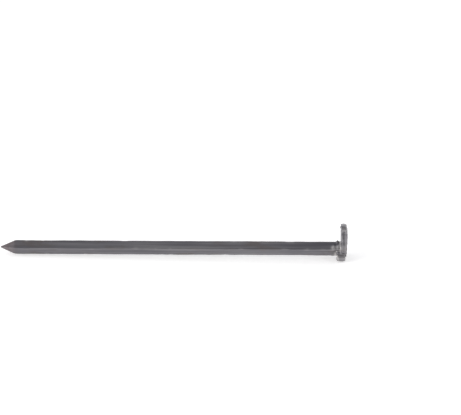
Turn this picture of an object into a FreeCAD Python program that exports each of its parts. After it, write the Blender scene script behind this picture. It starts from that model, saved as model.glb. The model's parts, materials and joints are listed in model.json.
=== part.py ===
import FreeCAD, Part

import math
import os

import Sketcher
from FreeCAD import Placement, Rotation, Vector

# A miniature track spike: square steel wire, a four-sided point cut at one end and a head
# struck up cold from the other. It is one piece of metal, so the document has one body.
#
# The body is drawn about the wire: X runs from the point to the head, Y towards the head's
# lip, Z across it, and the origin is where the wire's axis meets the head's underside.
# The finished spike is then turned about X to lie as it does on a table, on the rim of its
# head and the small ear behind it.

NODE = "rail_spike"

# Driving dimensions: millimetres, and degrees where the name ends in "angle".
DRIVING = {
    "wire_side": 0.40,
    "wire_corner": 0.04,
    "length_under_head": 13.50,
    "point_length": 0.58,
    "point_blunt": 0.03,
    "neck_length": 0.10,
    "neck_side": 0.48,
    "plate_thickness": 0.25,
    "plate_radius": 0.64,
    "plate_offset": 0.32,
    "plate_bevel": 0.07,
    "lip_reach": 1.16,
    "lip_width": 0.60,
    "lip_drop": 0.03,
    "ear_reach": 0.52,
    "ear_width": 0.29,
    "ear_angle": 198,
    "ear_hang": 0.20,
    "ear_drop": 0.09,
    "burr_radius": 0.15,
    "burr_along": 0.50,
    "burr_across": 0.62,
    "burr_hang": 0.05,
    "burr_thickness": 0.15,
    "grip_count": 4,
    "grip_pitch": 0.08,
    "grip_width": 0.035,
    "grip_depth": 0.012,
    "grip_start": 0.27,
    "lying_angle": 33,
}

# Sizes that follow from them, worked out by the sheet itself.
WORKED_OUT = {
    "straight_length": "=length_under_head - point_length",
    "point_corner": "=wire_corner * point_blunt / wire_side",
    "lip_thickness": "=plate_thickness - lip_drop",
    "ear_thickness": "=plate_thickness - ear_drop + ear_hang",
    "grip_side": "=wire_side - 2 * grip_depth",
    "grip_span": "=grip_pitch * (grip_count - 1)",
    "clear_radius": "=wire_side",
}

document = FreeCAD.newDocument("RailSpike")
sheet = document.addObject("Spreadsheet::Sheet", "Sizes")


def fill_sheet():
    """Give each size a row: its name, and its number or formula in a cell with that alias."""
    rows = {name: str(number) for name, number in DRIVING.items()} | WORKED_OUT
    for row, (name, content) in enumerate(rows.items(), start=1):
        sheet.set(f"A{row}", name)
        sheet.set(f"B{row}", content)
        sheet.setAlias(f"B{row}", name)
    document.recompute()


def value(name):
    return float(sheet.get(name))


fill_sheet()
body = document.addObject("PartDesign::Body", NODE)
body.Label = NODE


# Sketches ------------------------------------------------------------------------------


def origin_feature(role):
    for feature in body.Origin.OriginFeatures:
        if feature.Role == role:
            return feature
    raise LookupError(role)


def cross_sketch(name, along="0", turn="0"):
    """A sketch square to the wire, some way along it and turned about it, both by formula."""
    sketch = body.newObject("Sketcher::SketchObject", name)
    sketch.AttachmentSupport = [(origin_feature("YZ_Plane"), "")]
    sketch.MapMode = "FlatFace"
    sketch.AttachmentOffset = Placement(Vector(), Rotation(Vector(0, 0, 1), 0))
    sketch.setExpression("AttachmentOffset.Base.z", along)
    sketch.setExpression("AttachmentOffset.Rotation.Angle", turn)
    return sketch


def size(sketch, kind, places, name):
    """Add a dimension to a sketch and tie it to the sheet."""
    index = sketch.addConstraint(Sketcher.Constraint(kind, *places, value(name)))
    sketch.setExpression(f"Constraints[{index}]", f"Sizes.{name}")


def fix(sketch, kind, *places):
    sketch.addConstraint(Sketcher.Constraint(kind, *places))


ORIGIN = (-1, 1)
START, END, MIDDLE = 1, 2, 3


def draw_wire_section(sketch, side, corner):
    """A square with rounded corners, centred on the wire's axis."""
    half = value(side) / 2
    bend = value(corner)
    edges, bends = [], []
    for quarter in range(4):
        spin = Rotation(Vector(0, 0, 1), 90 * quarter)
        first = spin.multVec(Vector(half, bend - half, 0))
        last = spin.multVec(Vector(half, half - bend, 0))
        edges.append(sketch.addGeometry(Part.LineSegment(first, last)))
    for quarter in range(4):
        spin = Rotation(Vector(0, 0, 1), 90 * quarter)
        centre = spin.multVec(Vector(half - bend, half - bend, 0))
        circle = Part.Circle(centre, Vector(0, 0, 1), bend)
        start = math.pi / 2 * quarter
        bends.append(sketch.addGeometry(Part.ArcOfCircle(circle, start, start + math.pi / 2)))
    for quarter in range(4):
        after = edges[(quarter + 1) % 4]
        fix(sketch, "Tangent", edges[quarter], END, bends[quarter], START)
        fix(sketch, "Tangent", bends[quarter], END, after, START)
        fix(sketch, ("Vertical", "Horizontal")[quarter % 2], edges[quarter])
    for quarter in range(3):
        fix(sketch, "Equal", bends[quarter], bends[quarter + 1])
    fix(sketch, "Symmetric", edges[0], START, edges[2], START, *ORIGIN)
    size(sketch, "Radius", (bends[0],), corner)
    size(sketch, "DistanceX", (edges[2], START, edges[0], START), side)
    size(sketch, "DistanceY", (edges[3], START, edges[1], START), side)


def draw_disc(sketch, radius, along, across=None):
    """A circle with its centre on the lip's axis, or beside it by a given distance."""
    centre = Vector(value(along), value(across) if across else 0, 0)
    disc = sketch.addGeometry(Part.Circle(centre, Vector(0, 0, 1), value(radius)))
    size(sketch, "Radius", (disc,), radius)
    size(sketch, "DistanceX", (*ORIGIN, disc, MIDDLE), along)
    if across:
        size(sketch, "DistanceY", (*ORIGIN, disc, MIDDLE), across)
    else:
        fix(sketch, "PointOnObject", disc, MIDDLE, -1)


def draw_tongue(sketch, reach, width):
    """A tongue from the wire's axis outwards along the sketch's X, with a round end."""
    half = value(width) / 2
    run = value(reach) - half
    low = sketch.addGeometry(Part.LineSegment(Vector(0, -half, 0), Vector(run, -half, 0)))
    circle = Part.Circle(Vector(run, 0, 0), Vector(0, 0, 1), half)
    end = sketch.addGeometry(Part.ArcOfCircle(circle, -math.pi / 2, math.pi / 2))
    high = sketch.addGeometry(Part.LineSegment(Vector(run, half, 0), Vector(0, half, 0)))
    root = sketch.addGeometry(Part.LineSegment(Vector(0, half, 0), Vector(0, -half, 0)))
    tip = sketch.addGeometry(Part.Point(Vector(value(reach), 0, 0)))
    fix(sketch, "Tangent", low, END, end, START)
    fix(sketch, "Tangent", end, END, high, START)
    fix(sketch, "Coincident", high, END, root, START)
    fix(sketch, "Coincident", root, END, low, START)
    fix(sketch, "Horizontal", low)
    fix(sketch, "Horizontal", high)
    fix(sketch, "PointOnObject", root, START, -2)
    fix(sketch, "PointOnObject", root, END, -2)
    fix(sketch, "PointOnObject", end, MIDDLE, -1)
    fix(sketch, "PointOnObject", tip, START, -1)
    fix(sketch, "PointOnObject", tip, START, end)
    sketch.toggleConstruction(tip)
    size(sketch, "DistanceY", (root, END, root, START), width)
    size(sketch, "DistanceX", (*ORIGIN, tip, START), reach)


# Features ------------------------------------------------------------------------------


def volume():
    document.recompute()
    return body.Shape.Volume


def pad(name, sketch, length, backwards=False):
    """Raise a sketch towards the head, or backwards towards the point."""
    feature = body.newObject("PartDesign::Pad", name)
    feature.Profile = sketch
    feature.setExpression("Length", f"Sizes.{length}")
    feature.Reversed = backwards
    return feature


def loft(name, first, second):
    feature = body.newObject("PartDesign::AdditiveLoft", name)
    feature.Profile = first
    feature.Sections = [second]
    feature.Ruled = True
    return feature


def wire_section(name, along, side="wire_side", corner="wire_corner"):
    sketch = cross_sketch(name, along)
    draw_wire_section(sketch, side, corner)
    return sketch


def make_wire():
    """The plain square shank, from under the head to where the point begins."""
    section = wire_section("WireSection", "0")
    pad("Wire", section, "straight_length", backwards=True)


def make_point():
    """Four flats cut to a blunt point."""
    shoulder = wire_section("PointShoulder", "-Sizes.straight_length")
    end = wire_section("PointEnd", "-Sizes.length_under_head", "point_blunt", "point_corner")
    loft("Point", shoulder, end)


def make_plate():
    """The round plate of the head, set over towards the lip, with its struck edge bevelled."""
    sketch = cross_sketch("PlateSection")
    draw_disc(sketch, "plate_radius", "plate_offset")
    plate = pad("Plate", sketch, "plate_thickness")
    document.recompute()
    rims = []
    for number, edge in enumerate(plate.Shape.Edges, start=1):
        round_edge = isinstance(edge.Curve, Part.Circle)
        on_top = abs(edge.BoundBox.XMin - value("plate_thickness")) < 1e-6
        if round_edge and on_top:
            rims.append(f"Edge{number}")
    bevel = body.newObject("PartDesign::Chamfer", "PlateBevel")
    bevel.Base = (plate, rims)
    bevel.setExpression("Size", "Sizes.plate_bevel")


def make_neck():
    """The short flare where the wire swells into the head."""
    lower = wire_section("NeckStart", "-Sizes.neck_length")
    upper = wire_section("NeckEnd", "0", "neck_side")
    loft("Neck", lower, upper)


def make_lip():
    """The long tongue of the head that holds a rail's foot, a little below the plate's face."""
    sketch = cross_sketch("LipSection")
    draw_tongue(sketch, "lip_reach", "lip_width")
    pad("Lip", sketch, "lip_thickness")


def make_ear():
    """The short thick tongue behind the wire, which hangs below the plate."""
    sketch = cross_sketch("EarSection", "-Sizes.ear_hang", "Sizes.ear_angle")
    draw_tongue(sketch, "ear_reach", "ear_width")
    pad("Ear", sketch, "ear_thickness")


def make_burr():
    """A small round burr that the striking left on one side of the plate."""
    sketch = cross_sketch("BurrSection", "-Sizes.burr_hang")
    draw_disc(sketch, "burr_radius", "burr_along", "burr_across")
    pad("Burr", sketch, "burr_thickness")


def make_grip_marks():
    """Shallow rings round the wire under the head, bitten by the jaws that held it."""
    before = volume()
    sketch = wire_section("GripSection", "-Sizes.grip_start", "grip_side")
    outside = sketch.addGeometry(Part.Circle(Vector(), Vector(0, 0, 1), value("clear_radius")))
    fix(sketch, "Coincident", outside, MIDDLE, *ORIGIN)
    size(sketch, "Radius", (outside,), "clear_radius")
    mark = body.newObject("PartDesign::Pocket", "GripMark")
    mark.Profile = sketch
    mark.setExpression("Length", "Sizes.grip_width")
    one = before - volume()
    row = body.newObject("PartDesign::LinearPattern", "GripMarks")
    row.Originals = [mark]
    row.Direction = (origin_feature("X_Axis"), [""])
    row.Reversed = True
    row.setExpression("Length", "Sizes.grip_span")
    row.setExpression("Occurrences", "Sizes.grip_count")
    body.Tip = row
    every = before - volume()
    print(f"grip marks: one cuts {one:.6f} mm3, all cut {every:.6f} mm3")
    if one <= 0 or abs(every - one * value("grip_count")) > 1e-6:
        raise RuntimeError("a grip mark missed the wire")


def lay_down():
    """Turn the spike about the wire to rest on the plate's rim and the ear."""
    body.Placement = Placement(Vector(), Rotation(Vector(1, 0, 0), value("lying_angle")))
    body.setExpression("Placement.Rotation.Angle", "Sizes.lying_angle")


# Checks and files ----------------------------------------------------------------------


def check():
    document.recompute()
    for item in document.Objects:
        if {"Invalid", "Error"} & set(item.State):
            raise RuntimeError(f"{item.Name} failed: {item.State}")
        if item.TypeId == "Sketcher::SketchObject" and item.solve() != 0:
            raise RuntimeError(f"{item.Name} does not solve")
    shape = body.Shape
    if shape.isNull() or not shape.isValid() or len(shape.Solids) != 1:
        raise RuntimeError("the spike is not one valid solid")
    return shape


def main():
    make_wire()
    make_point()
    make_plate()
    make_neck()
    make_lip()
    make_ear()
    make_burr()
    make_grip_marks()
    lay_down()
    shape = check()
    os.makedirs("parts", exist_ok=True)
    shape.exportStep(f"parts/{body.Label}.step")
    box = shape.BoundBox
    print(f"{body.Label}: {shape.Volume:.4f} mm3, {len(shape.Faces)} faces")
    print(f"x {box.XMin:.3f} to {box.XMax:.3f}, y {box.YMin:.3f} to {box.YMax:.3f}, "
          f"z {box.ZMin:.3f} to {box.ZMax:.3f}")


main()
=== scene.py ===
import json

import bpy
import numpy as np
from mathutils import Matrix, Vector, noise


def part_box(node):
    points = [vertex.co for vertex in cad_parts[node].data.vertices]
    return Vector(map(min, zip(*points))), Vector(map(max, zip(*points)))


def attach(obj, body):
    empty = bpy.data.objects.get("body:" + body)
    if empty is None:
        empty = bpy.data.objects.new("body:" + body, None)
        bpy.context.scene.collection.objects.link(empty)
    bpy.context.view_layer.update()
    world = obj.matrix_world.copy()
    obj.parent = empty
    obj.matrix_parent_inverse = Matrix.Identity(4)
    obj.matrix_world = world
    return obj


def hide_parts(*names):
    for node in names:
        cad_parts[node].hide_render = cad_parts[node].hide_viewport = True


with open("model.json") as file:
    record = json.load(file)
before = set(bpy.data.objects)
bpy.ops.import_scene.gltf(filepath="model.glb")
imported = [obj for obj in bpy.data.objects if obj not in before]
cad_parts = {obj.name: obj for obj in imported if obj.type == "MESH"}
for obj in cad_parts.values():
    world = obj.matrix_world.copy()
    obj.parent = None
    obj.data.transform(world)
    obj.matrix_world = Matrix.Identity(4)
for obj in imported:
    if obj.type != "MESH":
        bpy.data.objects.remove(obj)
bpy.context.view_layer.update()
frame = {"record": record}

# %% [markdown]
# A miniature track spike is one piece of square steel wire. One end is cut to a point, and
# the other is struck flat into a head while jaws hold the wire. The design gives its sizes.
# Here the same spike gets the skin of the real one: rounded corners, folds where the metal
# was squeezed out, jaw marks, drawing lines and a dull dark finish.
#
# The wire's size, the length, and the plate's thickness and offset are read from the
# design, in millimetres. The smaller sizes are set beside the steps that use them.

SPIKE = "rail_spike"
MM = 0.001
low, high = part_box(SPIKE)
mounts = {m["name"]: m for m in frame["record"]["mounts"]}

ALONG = Vector((1.0, 0.0, 0.0))
TO_LIP = Vector(mounts["shank_lip_face"]["axis"]).normalized()
ACROSS = ALONG.cross(TO_LIP)


def in_mm(mount, direction):
    """How far a mount lies from the origin along a direction."""
    return Vector(mounts[mount]["pos_m"]).dot(direction) / MM


HALF_SIDE = in_mm("shank_lip_face", TO_LIP)
PLATE_TOP = in_mm("head_top", ALONG)
PLATE_OFFSET = in_mm("head_top", TO_LIP)
LENGTH = -low.x / MM
print(f"wire {2 * HALF_SIDE:.2f} mm square, {LENGTH:.2f} mm long under the head")
print(f"plate {PLATE_TOP:.2f} mm thick, set {PLATE_OFFSET:.2f} mm towards the lip")

# %% [markdown]
# The spike is closed and has no holes, so it can be made like a sleeve: a stack of rings,
# each with the same number of points, from the tip, along the wire, out over the underside
# of the head, up its rim and in across its face. Every ring is a formula of the angle, so
# a corner, a lobe or a fold is put exactly where it belongs. A sculpted or remeshed shape
# would lose the crisp square wire.
#
# First comes the outline of the head: a round plate with three lobes of squeezed metal.

# %% The outline of the head
PLATE_RADIUS = 0.63
LIP_REACH, LIP_RADIUS = 1.15, 0.295
EAR_REACH, EAR_RADIUS, EAR_ANGLE = 0.515, 0.145, np.radians(198)
BURR_AT, BURR_RADIUS = np.array([0.49, 0.61]), 0.145
PLATE_AT = np.array([PLATE_OFFSET, 0.0])
EAR_AT = (EAR_REACH - EAR_RADIUS) * np.array([np.cos(EAR_ANGLE), np.sin(EAR_ANGLE)])
LIP_AT = np.array([LIP_REACH - LIP_RADIUS, 0.0])


def wave(angle, seed, lumps, size):
    """A smooth closed ripple round the head: random, but the same on every run."""
    rng = np.random.default_rng(seed)
    total = np.zeros_like(angle)
    for count in range(2, 2 + lumps):
        total += rng.normal() * np.cos(count * angle + rng.uniform(0, 2 * np.pi)) / count
    return size * total


def lobe(angle, centre, radius):
    """How far a ray from the plate's centre runs before it leaves a round lobe."""
    away = centre - PLATE_AT
    distance = np.hypot(*away)
    off = angle - np.arctan2(away[1], away[0])
    inside = radius**2 - (distance * np.sin(off)) ** 2
    hit = (inside > 0) & (np.cos(off) > 0)
    return np.where(hit, distance * np.cos(off) + np.sqrt(np.maximum(inside, 0)), 0.0)


def plate_edge(angle):
    """How far the plate's uneven edge lies from its centre."""
    return PLATE_RADIUS * (1 + wave(angle, 3, 9, 0.012))


def outline(angle):
    """The plate's edge and the three lobes, whichever reaches furthest."""
    edge = plate_edge(angle)
    lip = lobe(angle, LIP_AT, LIP_RADIUS)
    ear = lobe(angle, EAR_AT, EAR_RADIUS)
    burr = lobe(angle, BURR_AT, BURR_RADIUS)
    return np.maximum.reduce([edge, lip, ear, burr])


def eased(values, passes):
    """Blunt the sharp turns of a closed outline a little."""
    for _ in range(passes):
        values = (np.roll(values, 1) + 2 * values + np.roll(values, -1)) / 4
    return values


# %% [markdown]
# The wire meets the head off its centre, so the same points have two sets of angles: one
# seen from the wire's axis and one from the plate's centre. A circle just inside the
# plate's edge joins them. Rays from the axis run as far as that circle and rays from the
# plate's centre run on from it, so no two rings can cross.

# %% Where the points go round a ring
AROUND, CIRCLE = 208, 0.57


def to_circle(angle):
    """How far a ray from the wire's axis runs before it meets the circle."""
    across = PLATE_OFFSET * np.sin(angle)
    return PLATE_OFFSET * np.cos(angle) + np.sqrt(CIRCLE**2 - across**2)


def seen_from_plate(angle):
    """The angle of that meeting place seen from the plate's centre."""
    reach = to_circle(angle)
    return np.unwrap(np.arctan2(reach * np.sin(angle), reach * np.cos(angle) - PLATE_OFFSET))


def spread_angles():
    """Angles that crowd together at the wire's corners and on the head's lobes."""
    fine = np.linspace(0, 2 * np.pi, 7201)
    head = seen_from_plate(fine)
    folded = np.abs((fine + np.pi / 4) % (np.pi / 2) - np.pi / 4)
    corner = np.exp(-(((folded - np.pi / 4) / 0.16) ** 2))
    reach = outline(head)
    swing = np.abs(np.gradient(reach, head)) / PLATE_RADIUS
    on_head = 1 + 0.9 * np.minimum(swing, 4) + 0.6 * (reach / PLATE_RADIUS - 1)
    density = 0.6 + 2.0 * corner + on_head * np.gradient(head, fine)
    total = np.concatenate([[0], np.cumsum((density[1:] + density[:-1]) / 2)])
    return np.interp(np.arange(AROUND) / AROUND * total[-1], total, fine)


ANGLES = spread_angles()
HEAD_ANGLES = seen_from_plate(np.append(ANGLES, 2 * np.pi))[:-1]
RAYS = np.stack([np.cos(ANGLES), np.sin(ANGLES)], axis=1)
HEAD_RAYS = np.stack([np.cos(HEAD_ANGLES), np.sin(HEAD_ANGLES)], axis=1)
EDGE = plate_edge(HEAD_ANGLES)
OUTLINE = eased(outline(HEAD_ANGLES), 2)
CORNER_FOLD = np.abs((ANGLES + np.pi / 4) % (np.pi / 2) - np.pi / 4)
AT_CORNER = np.exp(-(((CORNER_FOLD - np.pi / 4) / 0.13) ** 2))
print(f"{AROUND} points round each ring; the head reaches {OUTLINE.max():.2f} mm from its centre")

# %% [markdown]
# The wire is a square with rounded corners. A ray from the middle meets either a flat side
# or a corner's arc, and both have a formula. Near the end each of the four sides slopes in
# on its own, because each flat of the point was cut separately and none starts quite level
# with its neighbour.

# %% Rings of the wire
WIRE_CORNER = 0.09
POINT_LENGTH, POINT_BLUNT = 0.58, 0.015
TIP = 0.016 - LENGTH
SHOULDERS = {"+u": 0.03, "+v": 0.0, "-u": -0.05, "-v": 0.05}
SHOULDER_BLEND = 0.005


def unit_wire():
    """The wire's section with sides one unit from its middle."""
    inner = 1 - WIRE_CORNER
    side = 1 / np.cos(CORNER_FOLD)
    b = inner * (np.cos(CORNER_FOLD) + np.sin(CORNER_FOLD))
    arc = b + np.sqrt(np.maximum(b**2 - 2 * inner**2 + WIRE_CORNER**2, 0))
    flat = np.tan(CORNER_FOLD) <= inner
    return RAYS * np.where(flat, side, arc)[:, None]


UNIT_WIRE = unit_wire()


def side_at(x, shoulder):
    """How far one side stands from the axis: level, then sloping to the blunt tip."""
    slope = (HALF_SIDE - POINT_BLUNT) / (POINT_LENGTH + shoulder)
    cut = POINT_BLUNT + (x + LENGTH) * slope
    k = SHOULDER_BLEND
    return -k * np.logaddexp(-cut / k, -HALF_SIDE / k)


def wire_ring(x):
    """One ring of the wire: a column of x, lip-ward and cross-ward millimetres."""
    x = np.broadcast_to(np.asarray(x, float), (AROUND,))
    u, v = UNIT_WIRE[:, 0], UNIT_WIRE[:, 1]
    to_u = np.where(u > 0, side_at(x, SHOULDERS["+u"]), side_at(x, SHOULDERS["-u"]))
    to_v = np.where(v > 0, side_at(x, SHOULDERS["+v"]), side_at(x, SHOULDERS["-v"]))
    return np.stack([x, u * to_u, v * to_v], axis=1)


# %% [markdown]
# Squeezed metal leaves the struck end in layers. Under the plate hangs the thick ear, and
# a torn burr curls off the rim. On top the plate's face stands a little above the lobes,
# with a fold where they meet, so the head reads as a disc pressed onto its lobes.
#
# Two height maps hold all that: one for the underside and one for the face.

# %% Heights of the head
EAR_HANG, HANG_WALL = 0.19, 0.05
CURL_AT, CURL_RADIUS, CURL_HANG = BURR_AT * 1.13, 0.06, 0.05
BEVEL, BEVEL_DROP = 0.10, 0.065
NECK_FLARE, NECK_LENGTH = 0.085, 0.12
FOLD_DEPTH, FOLD_WIDTH = 0.026, 0.020
LIP_TOP, EAR_TOP, BURR_TOP = PLATE_TOP - 0.02, PLATE_TOP - 0.085, PLATE_TOP - 0.03


def step(value):
    """A smooth step from 0 to 1."""
    value = np.clip(value, 0, 1)
    return value * value * (3 - 2 * value)


def off_line(points, end):
    """Distance from each point to the straight line between the wire's axis and an end."""
    share = np.clip(points @ end / (end @ end), 0, 1)
    return np.hypot(*(points - share[:, None] * end).T)


def underside(points):
    """Height of the underside over a place in the head's plane."""
    ear = step((EAR_RADIUS - off_line(points, EAR_AT)) / HANG_WALL + 1)
    curl = step((CURL_RADIUS - np.hypot(*(points - CURL_AT).T)) / HANG_WALL + 0.5)
    return -EAR_HANG * ear - CURL_HANG * curl


def lobe_top():
    """Height of the lobes' tops round the head, blended from one lobe to the next."""
    tops = np.full(AROUND, PLATE_TOP - BEVEL_DROP)
    for centre, radius, top in (
        (LIP_AT, LIP_RADIUS, LIP_TOP),
        (EAR_AT, EAR_RADIUS, EAR_TOP),
        (BURR_AT, BURR_RADIUS, BURR_TOP),
    ):
        tops = np.where(lobe(HEAD_ANGLES, centre, radius) > EDGE, top, tops)
    return eased(tops, 3)


LOBE_TOP = lobe_top()
IS_LOBE = step((OUTLINE - EDGE) / 0.05)
IS_EAR = step((lobe(HEAD_ANGLES, EAR_AT, EAR_RADIUS) - EDGE) / 0.05)
IS_BURR = step((lobe(HEAD_ANGLES, BURR_AT, BURR_RADIUS) - EDGE) / 0.05)


def face_height(radius):
    """Height of the outer side at a distance from the plate's centre, one for each ray."""
    into_bevel = np.clip((radius - (EDGE - BEVEL)) / BEVEL, 0, 1)
    plate = PLATE_TOP - BEVEL_DROP * (1 - np.sqrt(1 - into_bevel**2))
    fold = FOLD_DEPTH * (1 - 0.6 * IS_BURR) * np.exp(-(((radius - EDGE) / FOLD_WIDTH) ** 2))
    return np.where(radius < EDGE, np.maximum(plate, LOBE_TOP - fold), LOBE_TOP - fold * IS_LOBE)


# %% [markdown]
# Now the rings are stacked. Each carries three marks beside its place, which the finish
# reads later: how worn it is, with painted highlights added at the neck, the bruises and the
# ear's edge; how much painted shade it takes in folds and creases, and how much darker it is
# just short of the head; and whether the punch struck it.

# %% Rings of the point, the wire and the neck
NEAR_HEAD = -0.75
rings, wear_and_highlight, folded, struck = [], [], [], []


def add_ring(places, wear_and_highlight_amount=0.0, fold=0.0, strike=0.0):
    """Put one ring on the stack, with its marks."""
    rings.append(np.array(places, float))
    wear_and_highlight.append(np.broadcast_to(np.asarray(wear_and_highlight_amount, float), (AROUND,)))
    # The fold mark holds painted shade for folds and creases, and also the dark scratches and the
    # darker stretch just short of the head.
    folded.append(np.broadcast_to(np.asarray(fold, float), (AROUND,)))
    struck.append(np.full(AROUND, float(strike)))


def dark_stretch(x):
    """How much darker the wire is, on the stretch just short of the head."""
    return 0.07 * np.exp(-(((x + 0.66) / 0.28) ** 2))


def add_point_and_wire():
    """From the blunt tip to a place short of the head."""
    tip = wire_ring(TIP)
    for share in (0.35, 0.75):
        cap = tip * (1, share, share)
        cap[:, 0] = TIP - 0.010 * (1 - share)
        add_ring(cap, wear_and_highlight_amount=0.6)
    shoulder = -LENGTH + POINT_LENGTH
    point = np.linspace(TIP, shoulder - 0.10, 13)[:-1]
    turn = np.linspace(shoulder - 0.10, shoulder + 0.12, 13)[:-1]
    run = np.linspace(shoulder + 0.12, NEAR_HEAD, 146)[:-1]
    for x in np.concatenate([point, turn, run]):
        add_ring(wire_ring(x), wear_and_highlight_amount=0.3 * AT_CORNER, fold=dark_stretch(x))


def add_wire_end(under):
    """The last stretch, whose rings bend to end square under the plate and the ear alike."""
    for share in np.linspace(0, 1, 42)[:-1]:
        x = NEAR_HEAD + share * (under - NECK_LENGTH - NEAR_HEAD)
        add_ring(wire_ring(x), wear_and_highlight_amount=0.3 * AT_CORNER, fold=dark_stretch(x))


def add_neck(flare, under):
    """A small rounded flare from the wire into the underside."""
    for turn in np.linspace(0, np.pi / 2, 7):
        x = under - NECK_LENGTH * (1 - np.sin(turn))
        ring = wire_ring(x)
        ring[:, 1:] += (flare * (1 - np.cos(turn)))[:, None] * RAYS
        # Painted highlight: the wear mark lightens the middle of the flare.
        add_ring(ring, wear_and_highlight_amount=2.5 * np.sin(2 * turn) ** 2)


print(f"rings stand closer together from {-NEAR_HEAD:.2f} mm under the head")

# %% [markdown]
# The head's rings are seen from the plate's centre. They run out under the lobes, round the
# rim and in over the face, and crowd together at each fold and bevel, where the skin turns
# most.

# %% Rings of the head
RIM_LOW, RIM_HIGH = 0.035 + 0.035 * IS_EAR, 0.045


def head_ring(radius, height):
    """A ring at a distance from the plate's centre, at a height."""
    flat = PLATE_AT + HEAD_RAYS * np.broadcast_to(radius, (AROUND,))[:, None]
    return np.column_stack([np.broadcast_to(height, (AROUND,)), flat])


def add_underside(start):
    """From the neck out to the circle, and from there out under the lobes."""
    circle = PLATE_AT + CIRCLE * HEAD_RAYS
    for share in np.linspace(0, 1, 18)[1:]:
        flat = start + share * (circle - start)
        # Painted highlight: the wear mark fades out from the neck.
        add_ring(np.column_stack([underside(flat), flat]), wear_and_highlight_amount=0.4 * (1 - share) ** 4)
    for share in np.linspace(0, 1, 10)[1:]:
        radius = CIRCLE + share * (OUTLINE - RIM_LOW - CIRCLE)
        add_ring(head_ring(radius, underside(PLATE_AT + HEAD_RAYS * radius[:, None])))


def add_rim():
    """Round the lower edge, up the side with a slight belly, and round the upper edge."""
    foot = underside(PLATE_AT + HEAD_RAYS * OUTLINE[:, None])
    top = np.minimum(LOBE_TOP, face_height(OUTLINE - RIM_HIGH))
    for turn in np.linspace(0, np.pi / 2, 5)[1:]:
        radius = OUTLINE - RIM_LOW * (1 - np.sin(turn))
        height = foot + RIM_LOW * (1 - np.cos(turn))
        # Painted highlight: the ear's lower edge is marked strongly worn so that it shows bright, as
        # if it mirrored the white table.
        add_ring(head_ring(radius, height), wear_and_highlight_amount=0.4 + 2.0 * IS_EAR)
    for share in np.linspace(0, 1, 6)[1:-1]:
        height = (foot + RIM_LOW) * (1 - share) + (top - RIM_HIGH) * share
        belly = 0.012 * np.sin(np.pi * share)
        add_ring(head_ring(OUTLINE + belly, height), wear_and_highlight_amount=0.15 + 0.8 * IS_LOBE)
    for turn in np.linspace(0, np.pi / 2, 5)[:-1]:
        radius = OUTLINE - RIM_HIGH * (1 - np.cos(turn))
        height = top - RIM_HIGH * (1 - np.sin(turn))
        add_ring(head_ring(radius, height), wear_and_highlight_amount=0.4 + 0.8 * IS_LOBE)


def add_face():
    """Across the lobes, through the fold, over the bevel and in to the middle."""
    outer, bevel_start = OUTLINE - RIM_HIGH, EDGE - BEVEL
    mid = np.minimum(EDGE + 0.05, bevel_start + 0.8 * (outer - bevel_start))
    for share in np.linspace(0, 1, 10)[:-1]:
        radius = outer + share * (mid - outer)
        add_ring(head_ring(radius, face_height(radius)), wear_and_highlight_amount=0.4 - 0.2 * share, strike=0.5)
    for share in np.linspace(0, 1, 14)[:-1]:
        radius = mid + share * (bevel_start - mid)
        # Painted shade: the fold between the plate and the lobes is marked to be painted dark.
        deep = IS_LOBE * np.exp(-(((radius - EDGE) / FOLD_WIDTH) ** 2))
        add_ring(head_ring(radius, face_height(radius)), wear_and_highlight_amount=0.5 * share, fold=deep, strike=0.8)
    for share in np.linspace(0, 1, 38)[:-1]:
        radius = bevel_start * (1 - share)
        add_ring(head_ring(radius, face_height(radius)), wear_and_highlight_amount=0.1, strike=1.0)


print(f"rim rounded by {RIM_HIGH:.3f} mm above, {RIM_LOW.min():.3f} to {RIM_LOW.max():.3f} mm below")

# %% [markdown]
# The stack is made in order, from the tip to the middle of the struck face. The neck's flare
# is held to what the circle leaves room for, because rings that overlap would fold the skin.

# %% Stack the rings
def stack_spike():
    """Every ring, from the tip to the middle of the struck face."""
    plane = wire_ring(0)[:, 1:]
    room = to_circle(ANGLES) - np.hypot(*plane.T)
    flare = np.minimum(NECK_FLARE, 0.8 * room)
    start = plane + flare[:, None] * RAYS
    under = eased(underside(start), 1)
    add_point_and_wire()
    add_wire_end(under)
    add_neck(flare, under)
    add_underside(start)
    add_rim()
    add_face()


stack_spike()
print(f"{len(rings)} rings, {2 * len(rings) * AROUND} triangles")

# %% [markdown]
# A perfect formula looks machined, and this head was struck cold. So the stacked points are
# pushed about a little: a ragged rim, dents and gouges on the struck face, a swollen corner
# and a torn nib where the jaws let go of the wire, and a slight wander along the shank.
#
# The rim comes first. Metal that flowed freely leaves it uneven, which smooth noise gives.

# %% Tear the rim
places = np.stack(rings)
# The wear mark also carries painted highlight; the fold mark carries painted shade, the dark
# scratches and the darker stretch near the head.
wear_and_highlight_mark, shade_and_darkening_mark, strike_mark = np.stack(wear_and_highlight), np.stack(folded), np.stack(struck)


def lumps(size, seed):
    """Smooth noise between -1 and 1 at every point, with lumps about one size across."""
    shift = Vector((seed * 13.7, seed * 7.1, seed * 3.3))
    flat = [noise.noise(Vector(p) / size + shift) for p in places.reshape(-1, 3)]
    return np.array(flat).reshape(places.shape[:2])


def work(step_of_work):
    """Do one step of the work, and print how far it moved the skin."""
    before = places.copy()
    step_of_work()
    moved = np.linalg.norm(places - before, axis=2).max()
    print(f"{step_of_work.__name__} moved the skin by up to {1000 * moved:.0f} microns")


def tear_rim():
    """Give the head's rim and lobes the unevenness of metal that flowed freely."""
    on_head = step((places[..., 0] + 0.30) / 0.2)
    away = places[..., 1:] - PLATE_AT
    radius = np.maximum(np.hypot(away[..., 0], away[..., 1]), 1e-6)
    ragged = 0.012 * lumps(0.13, 4) + 0.005 * lumps(0.05, 5) - 0.006
    rim = on_head * step((radius - 0.45) / 0.1)
    places[..., 1:] += (ragged * rim / radius)[..., None] * away
    places[..., 0] += 0.007 * on_head * (1 - strike_mark) * lumps(0.10, 6)


work(tear_rim)

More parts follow.
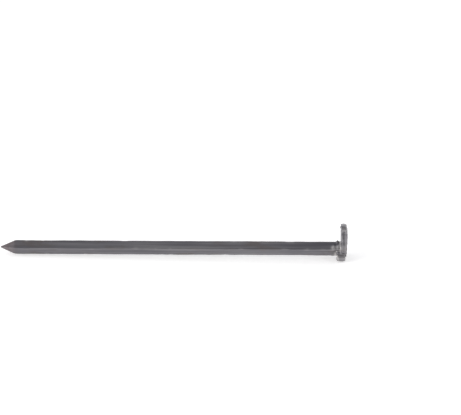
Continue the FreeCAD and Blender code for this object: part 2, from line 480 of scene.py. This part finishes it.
# %% [markdown]
# The punch leaves dents and scratches on the face it struck. Its blow wasn't quite square, so
# one side of the face is lower. A straight scratch is a formula of the distance to its line.

# %% Dent the face
def gouge(along, across, angle, length, width):
    """A straight scratch on the face: 1 on its line, 0 away from it."""
    u, v = places[..., 1] - along, places[..., 2] - across
    run = u * np.cos(angle) + v * np.sin(angle)
    side = v * np.cos(angle) - u * np.sin(angle)
    return strike_mark * np.exp(-((side / width) ** 2)) * step((length / 2 - np.abs(run)) / 0.08)


def dent_face():
    """Dents from the punch, then scratches: most are dark grooves, every third is bright."""
    rng = np.random.default_rng(11)
    depth = 0.014 * lumps(0.16, 1) + 0.009 * lumps(0.07, 2) - 0.008
    for index in range(42):
        along, across = rng.normal(0, 0.30, 2)
        angle = np.radians(rng.normal(112, 18))
        length, width = rng.uniform(0.12, 0.50), rng.uniform(0.010, 0.018)
        scratch = gouge(PLATE_OFFSET + along, across, angle, length, width)
        depth -= rng.uniform(0.003, 0.009) * scratch
        mark = wear_and_highlight_mark if index % 3 == 0 else shade_and_darkening_mark
        mark += (0.45 if index % 3 == 0 else 0.25) * scratch
    lean = (places[..., 1:] - PLATE_AT) @ np.array([0.80, 0.60]) / PLATE_RADIUS
    places[..., 0] += strike_mark * (depth - 0.035 * np.clip(0.3 - lean, 0, 1.3))
    places[..., 0] = np.minimum(places[..., 0], PLATE_TOP - 0.001)


work(dent_face)

# %% [markdown]
# The jaws bruised the wire just under the head, and handling nicks its long corners. Both are
# the same kind of mark: the skin is raised or sunk round one place, and marked there with wear,
# with painted highlight on the bruises, or with painted shade in the creases.

# %% Bruise the neck and nick the corners
def press(x, angle, out, length, spread, wear_and_highlight_amount=0.0, fold=0.0):
    """Raise or sink the wire's skin round one place, and mark it there as scuffed and painted
    bright, or painted dark as shade.
    """
    u, v = places[..., 1], places[..., 2]
    off = (np.arctan2(v, u) - np.radians(angle) + np.pi) % (2 * np.pi) - np.pi
    near = np.exp(-(((places[..., 0] - x) / length) ** 2) - (off / np.radians(spread)) ** 2)
    near *= places[..., 0] < -0.03
    away = places[..., 1:] / np.maximum(np.hypot(u, v), 1e-6)[..., None]
    places[..., 1:] += out * near[..., None] * away
    np.add(wear_and_highlight_mark, wear_and_highlight_amount * near, out=wear_and_highlight_mark)
    np.add(shade_and_darkening_mark, fold * near, out=shade_and_darkening_mark)


def bruise_neck():
    """What the jaws left under the head: a torn nib, two bruises with painted highlights and two
    creases with painted shade.
    """
    press(-0.145, 47, 0.060, 0.045, 15, wear_and_highlight_amount=0.3)
    press(-0.310, 116, 0.040, 0.075, 22, wear_and_highlight_amount=3.0)
    press(-0.125, 112, 0.040, 0.070, 24, wear_and_highlight_amount=3.2)
    press(-0.240, 84, -0.010, 0.030, 14, fold=0.5)
    press(-0.235, 168, -0.014, 0.035, 26, fold=0.7)
    press(-0.330, -140, 0.016, 0.060, 16, wear_and_highlight_amount=0.6)


def nick_corners():
    """Small knocks along the wire's four corners, each with a bright lip."""
    rng = np.random.default_rng(5)
    for index in range(34):
        x = rng.uniform(-LENGTH + 0.8, -0.6)
        corner = 45 + 90 * rng.integers(0, 4) + rng.normal(0, 6)
        length = rng.uniform(0.03, 0.11)
        press(x, corner, -rng.uniform(0.003, 0.011), length, rng.uniform(6, 14), wear_and_highlight_amount=0.6)


work(bruise_neck)
work(nick_corners)

# %% [markdown]
# Drawn wire is never quite straight, so the shank is bent and rippled last, marks and all.

# %% Let the wire wander
def wander_wire():
    """Drawn wire is never quite straight or even: bend it and ripple its skin by microns."""
    on_wire = step((-places[..., 0] - 0.05) / 0.4)
    for axis, wander in ((1, 2.3), (2, 1.7)):
        bend = [noise.noise(Vector((x / wander, axis * 9.1, 0.0))) for x in places[:, 0, 0]]
        places[..., axis] += 0.006 * np.array(bend)[:, None] * on_wire
    ripple = 0.0035 * lumps(0.30, 7) + 0.004 * lumps(1.1, 8)
    places[..., 1:] *= (1 + ripple * on_wire / HALF_SIDE)[..., None]


work(wander_wire)

# %% [markdown]
# The stack becomes a mesh in one go. Ring is joined to ring by four-sided faces, and a fan of
# triangles closes each end, so the skin has no open edge. The marks go along as attributes,
# which the material reads by name.

# %% Build the mesh
def build_spike():
    """One closed mesh from the stack: side faces ring to ring, and a fan at each end."""
    count = len(places)
    axes = np.array([ALONG, TO_LIP, ACROSS])
    points = places.reshape(-1, 3) @ axes * MM
    tip = places[0].mean(axis=0) @ axes * MM - np.array([0.004 * MM, 0, 0])
    middle = places[-1].mean(axis=0) @ axes * MM
    points = np.vstack([points, tip, middle])
    around, after = np.arange(AROUND), (np.arange(AROUND) + 1) % AROUND
    faces = []
    for ring in range(count - 1):
        a, b = ring * AROUND + around, ring * AROUND + after
        faces += np.column_stack([a, b, b + AROUND, a + AROUND]).tolist()
    last = (count - 1) * AROUND
    faces += [(len(points) - 2, int(b), int(a)) for a, b in zip(around, after)]
    faces += [(len(points) - 1, int(last + a), int(last + b)) for a, b in zip(around, after)]
    mesh = bpy.data.meshes.new("spike_skin")
    mesh.from_pydata(points.tolist(), [], faces)
    for name, marks in (("wear_and_highlight", wear_and_highlight_mark), ("fold", shade_and_darkening_mark), ("struck", strike_mark)):
        ends = [marks[0].mean(), marks[-1].mean()]
        layer = mesh.attributes.new(name, "FLOAT", "POINT")
        layer.data.foreach_set("value", np.concatenate([marks.ravel(), ends]))
    mesh.shade_smooth()
    mesh.validate()
    return mesh


spike = bpy.data.objects.new("spike_steel", build_spike())
bpy.context.scene.collection.objects.link(spike)
print(f"mesh of {len(spike.data.vertices)} points, {len(spike.data.polygons)} faces")

# %% [markdown]
# Jaws with small teeth held the wire while the head was struck, and left a few short bites
# across it just under the head. They repeat at one pitch, so Geometry Nodes press them in:
# one tree with the first bite's place, the pitch, the count and the depth as its inputs.
# Modelling each bite by hand would be slower to change and no closer to the real thing.

# %% Jaw marks by Geometry Nodes
JAW_MARKS = {
    "First": 0.27 * MM,
    "Pitch": 0.08 * MM,
    "Count": 4.0,
    "Depth": 0.011 * MM,
    "Ragged size": 0.12 * MM,
    "Seed": 4.0,
    "Jaw direction": list(TO_LIP),
}


def math_node(tree, operation, *inputs):
    """Add a Math node, joining each input that is a socket and setting each number."""
    node = tree.nodes.new("ShaderNodeMath")
    node.operation = operation
    for socket, value in zip(node.inputs, inputs):
        if isinstance(value, bpy.types.NodeSocket):
            tree.links.new(value, socket)
        else:
            socket.default_value = value
    return node.outputs[0]


def row_of_bites(tree, given):
    """1 in the middle of each bite and 0 between bites, along as many as are asked for."""
    position = tree.nodes.new("GeometryNodeInputPosition").outputs[0]
    split = tree.nodes.new("ShaderNodeSeparateXYZ")
    tree.links.new(position, split.inputs[0])
    back = math_node(tree, "MULTIPLY", split.outputs["X"], -1.0)
    past = math_node(tree, "SUBTRACT", back, given["First"])
    turns = math_node(tree, "DIVIDE", past, given["Pitch"])
    half_cycle = math_node(tree, "MULTIPLY", turns, np.pi)
    swing = math_node(tree, "ABSOLUTE", math_node(tree, "COSINE", half_cycle))
    bite = math_node(tree, "POWER", swing, 6.0)
    begun = math_node(tree, "GREATER_THAN", turns, -0.5)
    last = math_node(tree, "SUBTRACT", given["Count"], 0.5)
    ended = math_node(tree, "LESS_THAN", turns, last)
    within = math_node(tree, "MULTIPLY", begun, ended)
    return math_node(tree, "MULTIPLY", bite, within)


def jaw_grip(tree, given, normal):
    """How hard the jaws bit: unevenly, and only on the sides that faced them."""
    ragged = tree.nodes.new("ShaderNodeTexNoise")
    ragged.noise_dimensions = "4D"
    scale = math_node(tree, "DIVIDE", 1.0, given["Ragged size"])
    tree.links.new(scale, ragged.inputs["Scale"])
    tree.links.new(given["Seed"], ragged.inputs["W"])
    spread = math_node(tree, "MULTIPLY", ragged.outputs[0], 5.0)
    lowered = math_node(tree, "SUBTRACT", spread, 1.6)
    uneven = math_node(tree, "MAXIMUM", lowered, 0.0)
    facing = tree.nodes.new("ShaderNodeVectorMath")
    facing.operation = "DOT_PRODUCT"
    tree.links.new(normal, facing.inputs[0])
    tree.links.new(given["Jaw direction"], facing.inputs[1])
    towards_jaw = math_node(tree, "ABSOLUTE", facing.outputs["Value"])
    held = math_node(tree, "POWER", towards_jaw, 2.0)
    return math_node(tree, "MULTIPLY", uneven, held)


def jaw_mark_tree(material):
    """The whole tree, from its named inputs to the material on the result."""
    tree = bpy.data.node_groups.new("Jaw marks", "GeometryNodeTree")
    face = tree.interface
    face.new_socket("Geometry", in_out="INPUT", socket_type="NodeSocketGeometry")
    for name in ("First", "Pitch", "Count", "Depth", "Ragged size", "Seed"):
        face.new_socket(name, in_out="INPUT", socket_type="NodeSocketFloat")
    face.new_socket("Jaw direction", in_out="INPUT", socket_type="NodeSocketVector")
    face.new_socket("Geometry", in_out="OUTPUT", socket_type="NodeSocketGeometry")
    given = tree.nodes.new("NodeGroupInput").outputs
    result = tree.nodes.new("NodeGroupOutput").inputs
    normal = tree.nodes.new("GeometryNodeInputNormal").outputs[0]
    row = row_of_bites(tree, given)
    grip = jaw_grip(tree, given, normal)
    depth = math_node(tree, "MULTIPLY", row, given["Depth"])
    pressed = math_node(tree, "MULTIPLY", depth, grip)
    inward = math_node(tree, "MULTIPLY", pressed, -1.0)
    push = tree.nodes.new("ShaderNodeVectorMath")
    push.operation = "SCALE"
    tree.links.new(normal, push.inputs[0])
    tree.links.new(inward, push.inputs["Scale"])
    press = tree.nodes.new("GeometryNodeSetPosition")
    tree.links.new(given["Geometry"], press.inputs["Geometry"])
    tree.links.new(push.outputs[0], press.inputs["Offset"])
    real = tree.nodes.new("GeometryNodeRealizeInstances")
    finish = tree.nodes.new("GeometryNodeSetMaterial")
    finish.inputs["Material"].default_value = material
    tree.links.new(press.outputs[0], real.inputs[0])
    tree.links.new(real.outputs[0], finish.inputs[0])
    tree.links.new(finish.outputs[0], result["Geometry"])
    return tree


def press_jaw_marks(piece, material, sizes):
    """Run the tree on a piece and keep the result as its plain mesh."""
    tree = jaw_mark_tree(material)
    modifier = piece.modifiers.new("Jaw marks", "NODES")
    modifier.node_group = tree
    for item in tree.interface.items_tree:
        if item.in_out == "INPUT" and item.name in sizes:
            modifier[item.identifier] = sizes[item.name]
    bpy.context.view_layer.update()
    seen = piece.evaluated_get(bpy.context.evaluated_depsgraph_get())
    mesh = bpy.data.meshes.new_from_object(seen)
    piece.modifiers.clear()
    piece.data = mesh


print(f"{JAW_MARKS['Count']:.0f} bites, {JAW_MARKS['Pitch'] / MM:.2f} mm apart")


# %% [markdown]
# The finish is bare drawn steel that has gone dull: a dark grey with fine lines along the
# wire from the drawing die, patches of thin oxide and brighter corners where handling rubs
# them. On that go painted highlights at the neck, the bruises and the ear, and painted shade,
# nearly black, in the folds and creases, with a darker stretch just short of the head. It is
# one metal shader. Its colour, roughness and bump come from noise in the piece's own
# coordinates, stretched along the wire for the lines, and from the marks that the rings carry.
# A picture texture couldn't be this fine so close.

# %% Short ways to add a material's nodes
class Finish:
    """A material's node tree with short ways to add the few kinds of node used here."""

    def __init__(self, name):
        self.material = bpy.data.materials.new(name)
        self.material.use_nodes = True
        self.tree = self.material.node_tree
        self.shader = self.tree.nodes["Principled BSDF"]
        self.place = self.tree.nodes.new("ShaderNodeTexCoord").outputs["Object"]

    def join(self, value, socket):
        """Link a socket, or set a number or a colour."""
        if isinstance(value, bpy.types.NodeSocket):
            self.tree.links.new(value, socket)
        else:
            socket.default_value = value

    def calc(self, operation, *inputs):
        """One step of arithmetic on sockets and numbers."""
        return math_node(self.tree, operation, *inputs)

    def grain(self, scale, detail=4.0, roughness=0.55, stretch=(1, 1, 1)):
        """Noise with so many lumps to the millimetre, stretched by shrinking an axis."""
        mapping = self.tree.nodes.new("ShaderNodeMapping")
        mapping.inputs["Scale"].default_value = [scale / MM * s for s in stretch]
        self.tree.links.new(self.place, mapping.inputs["Vector"])
        node = self.tree.nodes.new("ShaderNodeTexNoise")
        node.inputs["Scale"].default_value = 1.0
        node.inputs["Detail"].default_value = detail
        node.inputs["Roughness"].default_value = roughness
        self.tree.links.new(mapping.outputs[0], node.inputs["Vector"])
        return node.outputs[0]

    def mark(self, name):
        """One of the marks that the rings carry."""
        node = self.tree.nodes.new("ShaderNodeAttribute")
        node.attribute_name = name
        return node.outputs["Fac"]

    def blend(self, amount, first, second):
        """Mix two colours, from the first at 0 to the second at 1."""
        node = self.tree.nodes.new("ShaderNodeMix")
        node.data_type = "RGBA"
        self.join(amount, node.inputs["Factor"])
        self.join(first, node.inputs["A"])
        self.join(second, node.inputs["B"])
        return node.outputs["Result"]

    def fit(self, value, low, high, to_low=0.0, to_high=1.0):
        """Map a range to another, with its ends held."""
        node = self.tree.nodes.new("ShaderNodeMapRange")
        for socket, number in zip(node.inputs, (value, low, high, to_low, to_high)):
            self.join(number, socket)
        return node.outputs[0]


# %% [markdown]
# The steel goes on in three layers: colour, roughness and bump. The same streaks and patches
# feed more than one of them, so that a paler streak is also a rougher one.

# %% The steel
COLD_STEEL = (0.158, 0.154, 0.171, 1)
PALE_STEEL = (0.282, 0.274, 0.288, 1)
BROWN_OXIDE = (0.178, 0.154, 0.146, 1)
# Pale steel for real wear, and also for painted highlights.
RUBBED_HIGHLIGHT_STEEL = (0.62, 0.60, 0.59, 1)
STRUCK_STEEL = (0.112, 0.109, 0.122, 1)
# Near black for painted shade in folds and creases.
BLACK_FOLD_SHADE = (0.030, 0.028, 0.034, 1)
BROWN_TIP = (0.190, 0.150, 0.150, 1)


def dull_steel():
    """The spike's one finish."""
    steel = Finish("dull drawn steel")
    lines = steel.grain(26, detail=3, stretch=(0.02, 1, 1))
    streaks = steel.grain(7, detail=4, stretch=(0.03, 1, 1))
    patches = steel.grain(2.2, detail=5, roughness=0.6, stretch=(0.35, 1, 1))
    pits = steel.grain(30, detail=2, roughness=0.7)
    hammered = steel.grain(9, detail=5, roughness=0.65)
    wear_and_highlight_value, fold, strike = steel.mark("wear_and_highlight"), steel.mark("fold"), steel.mark("struck")

    tone = steel.fit(streaks, 0.36, 0.64)
    colour = steel.blend(tone, COLD_STEEL, PALE_STEEL)
    colour = steel.blend(steel.fit(patches, 0.52, 0.68, 0.0, 0.65), colour, BROWN_OXIDE)
    mottle = steel.calc("MULTIPLY", strike, steel.fit(hammered, 0.38, 0.62, 0.95, 0.25))
    colour = steel.blend(mottle, colour, STRUCK_STEEL)
    split = steel.tree.nodes.new("ShaderNodeSeparateXYZ")
    steel.tree.links.new(steel.place, split.inputs[0])
    end = -LENGTH * MM
    near_tip = steel.fit(split.outputs["X"], end + 0.30 * MM, end + 0.75 * MM, 0.6, 0.0)
    colour = steel.blend(near_tip, colour, BROWN_TIP)
    # The wear mark blends in pale steel: real wear on corners, nicks and rims, and painted highlight
    # at the neck, the bruises and the ear's edge.
    rubbed_and_highlight = steel.calc("MULTIPLY", wear_and_highlight_value, steel.fit(patches, 0.35, 0.60, 0.12, 0.42))
    colour = steel.blend(rubbed_and_highlight, colour, RUBBED_HIGHLIGHT_STEEL)
    # Painted shade: the fold mark blends folds and creases towards near black, and also darkens the
    # dark scratches and the stretch just short of the head.
    colour = steel.blend(steel.calc("MULTIPLY", fold, 0.85), colour, BLACK_FOLD_SHADE)
    steel.join(colour, steel.shader.inputs["Base Color"])
    steel.shader.inputs["Metallic"].default_value = 1.0

    rough = steel.fit(streaks, 0.35, 0.65, 0.40, 0.54)
    rough = steel.calc("SUBTRACT", rough, steel.calc("MULTIPLY", rubbed_and_highlight, 0.12))
    rough = steel.calc("ADD", rough, steel.calc("MULTIPLY", fold, 0.25))
    steel.join(rough, steel.shader.inputs["Roughness"])

    height = steel.calc("MULTIPLY", lines, 0.6)
    height = steel.calc("ADD", height, steel.fit(pits, 0.18, 0.36, 0.0, 0.4))
    on_face = steel.calc("MULTIPLY", strike, 2.5)
    height = steel.calc("ADD", height, steel.calc("MULTIPLY", hammered, on_face))
    bump = steel.tree.nodes.new("ShaderNodeBump")
    bump.inputs["Distance"].default_value = 0.004 * MM
    bump.inputs["Strength"].default_value = 1.0
    steel.join(height, bump.inputs["Height"])
    steel.join(bump.outputs[0], steel.shader.inputs["Normal"])
    return steel.material


# %% [markdown]
# Last the jaw marks are pressed in and the steel is put on, and the piece is tied to the
# design: it rides on its body and takes the place of the plain spike.

# %% Finish the spike
steel_material = dull_steel()
press_jaw_marks(spike, steel_material, JAW_MARKS)
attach(spike, "root")
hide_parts(SPIKE)
print(f"{len(spike.data.polygons)} faces after the jaw marks")

# %% [markdown]
# The spike lies on the rim of its head, the ear and the far corner of its point. So the
# table isn't level with the wire: seen from the spike it rises a little towards the point.
# The table, the lights and the camera are all set up from that plane.

# %% The table
def table_frame():
    """A frame on the table under the middle of the spike, turned to lie level with it."""
    corners = [v.co for v in spike.data.vertices]
    head = min((c for c in corners if c.x > -1.0 * MM), key=lambda c: c.z)
    foot = min((c for c in corners if c.x < -0.9 * LENGTH * MM), key=lambda c: c.z)
    rise = (foot.z - head.z) / (head.x - foot.x)
    tilt = Matrix.Rotation(np.arctan(rise), 4, "Y")
    middle = (head + foot) / 2
    return Matrix.Translation((middle.x, 0, middle.z)) @ tilt, np.degrees(np.arctan(rise))


TABLE, slant = table_frame()
TABLE_HALF, TABLE_GLOW = 400, 0.42


def make_table():
    """A large white card that glows a little, so that it stays white."""
    mesh = bpy.data.meshes.new("table")
    half = TABLE_HALF * MM
    corners = [(-half, -half, 0), (half, -half, 0), (half, half, 0), (-half, half, 0)]
    mesh.from_pydata([TABLE @ Vector(c) for c in corners], [], [(0, 1, 2, 3)])
    table = bpy.data.objects.new("table", mesh)
    bpy.context.scene.collection.objects.link(table)
    paint = Finish("white card")
    paint.shader.inputs["Base Color"].default_value = (0.93, 0.93, 0.93, 1)
    paint.shader.inputs["Roughness"].default_value = 0.9
    paint.shader.inputs["Specular IOR Level"].default_value = 0.0
    paint.shader.inputs["Emission Color"].default_value = (1.0, 0.995, 0.985, 1)
    paint.shader.inputs["Emission Strength"].default_value = TABLE_GLOW
    mesh.materials.append(paint.material)


make_table()
print(f"the table leans {slant:.2f} degrees from the wire")

# %% [markdown]
# Dark steel on white needs light that the metal can mirror gently. A white room does it,
# with a dimmer ceiling and a dark front, where the camera stands. The upper flats
# mirror the ceiling, the lower flats mirror the bright table, and the edge between them
# mirrors the dark front. Two broad lamps at the sides whiten the table.

# %% The light
FRONT = Vector((0.0, -0.94, 0.34))
SIDES, CEILING_SHARE, FRONT_SHARE, BACK_SHARE = 0.85, 0.60, 0.30, 1.7
LAMP_DISTANCE = 120


def fade(tree, value, low, high, from_value, to_value):
    """Ease from one number to another while a value passes between two limits."""
    node = tree.nodes.new("ShaderNodeMapRange")
    node.interpolation_type = "SMOOTHSTEP"
    tree.links.new(value, node.inputs[0])
    for socket, number in zip(list(node.inputs)[1:], (low, high, from_value, to_value)):
        socket.default_value = number
    return node.outputs[0]


def make_room():
    """A plain surround that lights the metal, and is plain white where the camera sees it."""
    world = bpy.data.worlds.new("white room")
    bpy.context.scene.world = world
    world.use_nodes = True
    tree = world.node_tree
    tree.nodes.clear()
    way = tree.nodes.new("ShaderNodeTexCoord").outputs["Generated"]
    split = tree.nodes.new("ShaderNodeSeparateXYZ")
    tree.links.new(way, split.inputs[0])
    front = tree.nodes.new("ShaderNodeVectorMath")
    front.operation = "DOT_PRODUCT"
    tree.links.new(way, front.inputs[0])
    front.inputs[1].default_value = FRONT
    above = fade(tree, split.outputs["Z"], 0.50, 0.95, SIDES, SIDES * CEILING_SHARE)
    ahead = fade(tree, front.outputs["Value"], 0.40, 0.90, 1.0, FRONT_SHARE)
    behind = fade(tree, front.outputs["Value"], -0.90, -0.10, BACK_SHARE, 1.0)
    above = math_node(tree, "MULTIPLY", above, behind)
    lit, seen = tree.nodes.new("ShaderNodeBackground"), tree.nodes.new("ShaderNodeBackground")
    lit.inputs["Color"].default_value = (0.97, 0.975, 1.0, 1)
    tree.links.new(math_node(tree, "MULTIPLY", above, ahead), lit.inputs["Strength"])
    path, mix = tree.nodes.new("ShaderNodeLightPath"), tree.nodes.new("ShaderNodeMixShader")
    tree.links.new(path.outputs["Is Camera Ray"], mix.inputs[0])
    tree.links.new(lit.outputs[0], mix.inputs[1])
    tree.links.new(seen.outputs[0], mix.inputs[2])
    seen.inputs["Color"].default_value = (1, 1, 1, 1)
    output = tree.nodes.new("ShaderNodeOutputWorld")
    tree.links.new(mix.outputs[0], output.inputs[0])


def make_lamp(name, azimuth, elevation, power, side, warmth):
    """A square soft lamp aimed at the spike from a direction given in degrees."""
    lamp = bpy.data.lights.new(name, "AREA")
    lamp.shape, lamp.size, lamp.energy, lamp.color = "SQUARE", side * MM, power, warmth
    a, e = np.radians(azimuth), np.radians(elevation)
    back = Vector((np.sin(a) * np.cos(e), -np.cos(a) * np.cos(e), np.sin(e)))
    body = bpy.data.objects.new(name, lamp)
    body.location = TABLE @ (back * LAMP_DISTANCE * MM)
    body.rotation_mode = "QUATERNION"
    body.rotation_quaternion = (TABLE.to_3x3() @ back).to_track_quat("Z", "Y")
    bpy.context.scene.collection.objects.link(body)


make_room()
make_lamp("left lamp", -64, 26, 0.044, 70, (1.0, 0.99, 0.97))
make_lamp("right lamp", 72, 26, 0.026, 90, (1.0, 0.98, 0.96))
bpy.context.scene.view_settings.view_transform = "Standard"
print(f"two lamps {LAMP_DISTANCE} mm away, in a room of brightness {SIDES}")

# %% [markdown]
# The camera looks down at about twenty degrees through a long lens, turned about two degrees
# towards the head's end, so the head's plate stands nearly edge on. It aims so that the spike
# lies level and a little low, from the left edge of the view to past its middle.

# %% The camera
CAMERA_AZIMUTH, CAMERA_ELEVATION, CAMERA_ROLL = 1.9, 20.0, 0.38
LENS, SENSOR, VIEW_WIDTH = 135.0, 36.0, 18.22
AIM_ALONG, AIM_UP = -4.365, 1.602


def make_camera():
    """Place the camera from its direction, the width of its view and where it aims."""
    data = bpy.data.cameras.new("camera")
    data.lens, data.sensor_width = LENS, SENSOR
    data.clip_start, data.clip_end = 1 * MM, 2000 * MM
    a, e = np.radians(CAMERA_AZIMUTH), np.radians(CAMERA_ELEVATION)
    back = Vector((np.sin(a) * np.cos(e), -np.cos(a) * np.cos(e), np.sin(e)))
    turn = TABLE.to_3x3().to_4x4() @ back.to_track_quat("Z", "Y").to_matrix().to_4x4()
    turn = turn @ Matrix.Rotation(np.radians(CAMERA_ROLL), 4, "Z")
    distance = VIEW_WIDTH * LENS / SENSOR
    aim = Vector((AIM_ALONG, 0, 0)) + turn.to_3x3() @ Vector((0, AIM_UP, 0))
    camera = bpy.data.objects.new("camera", data)
    camera.matrix_world = Matrix.Translation(
        (aim + turn.to_3x3() @ Vector((0, 0, distance))) * MM) @ turn
    bpy.context.scene.collection.objects.link(camera)
    bpy.context.scene.camera = camera
    print(f"camera {distance:.0f} mm away, {VIEW_WIDTH:.1f} mm across the view")


make_camera()
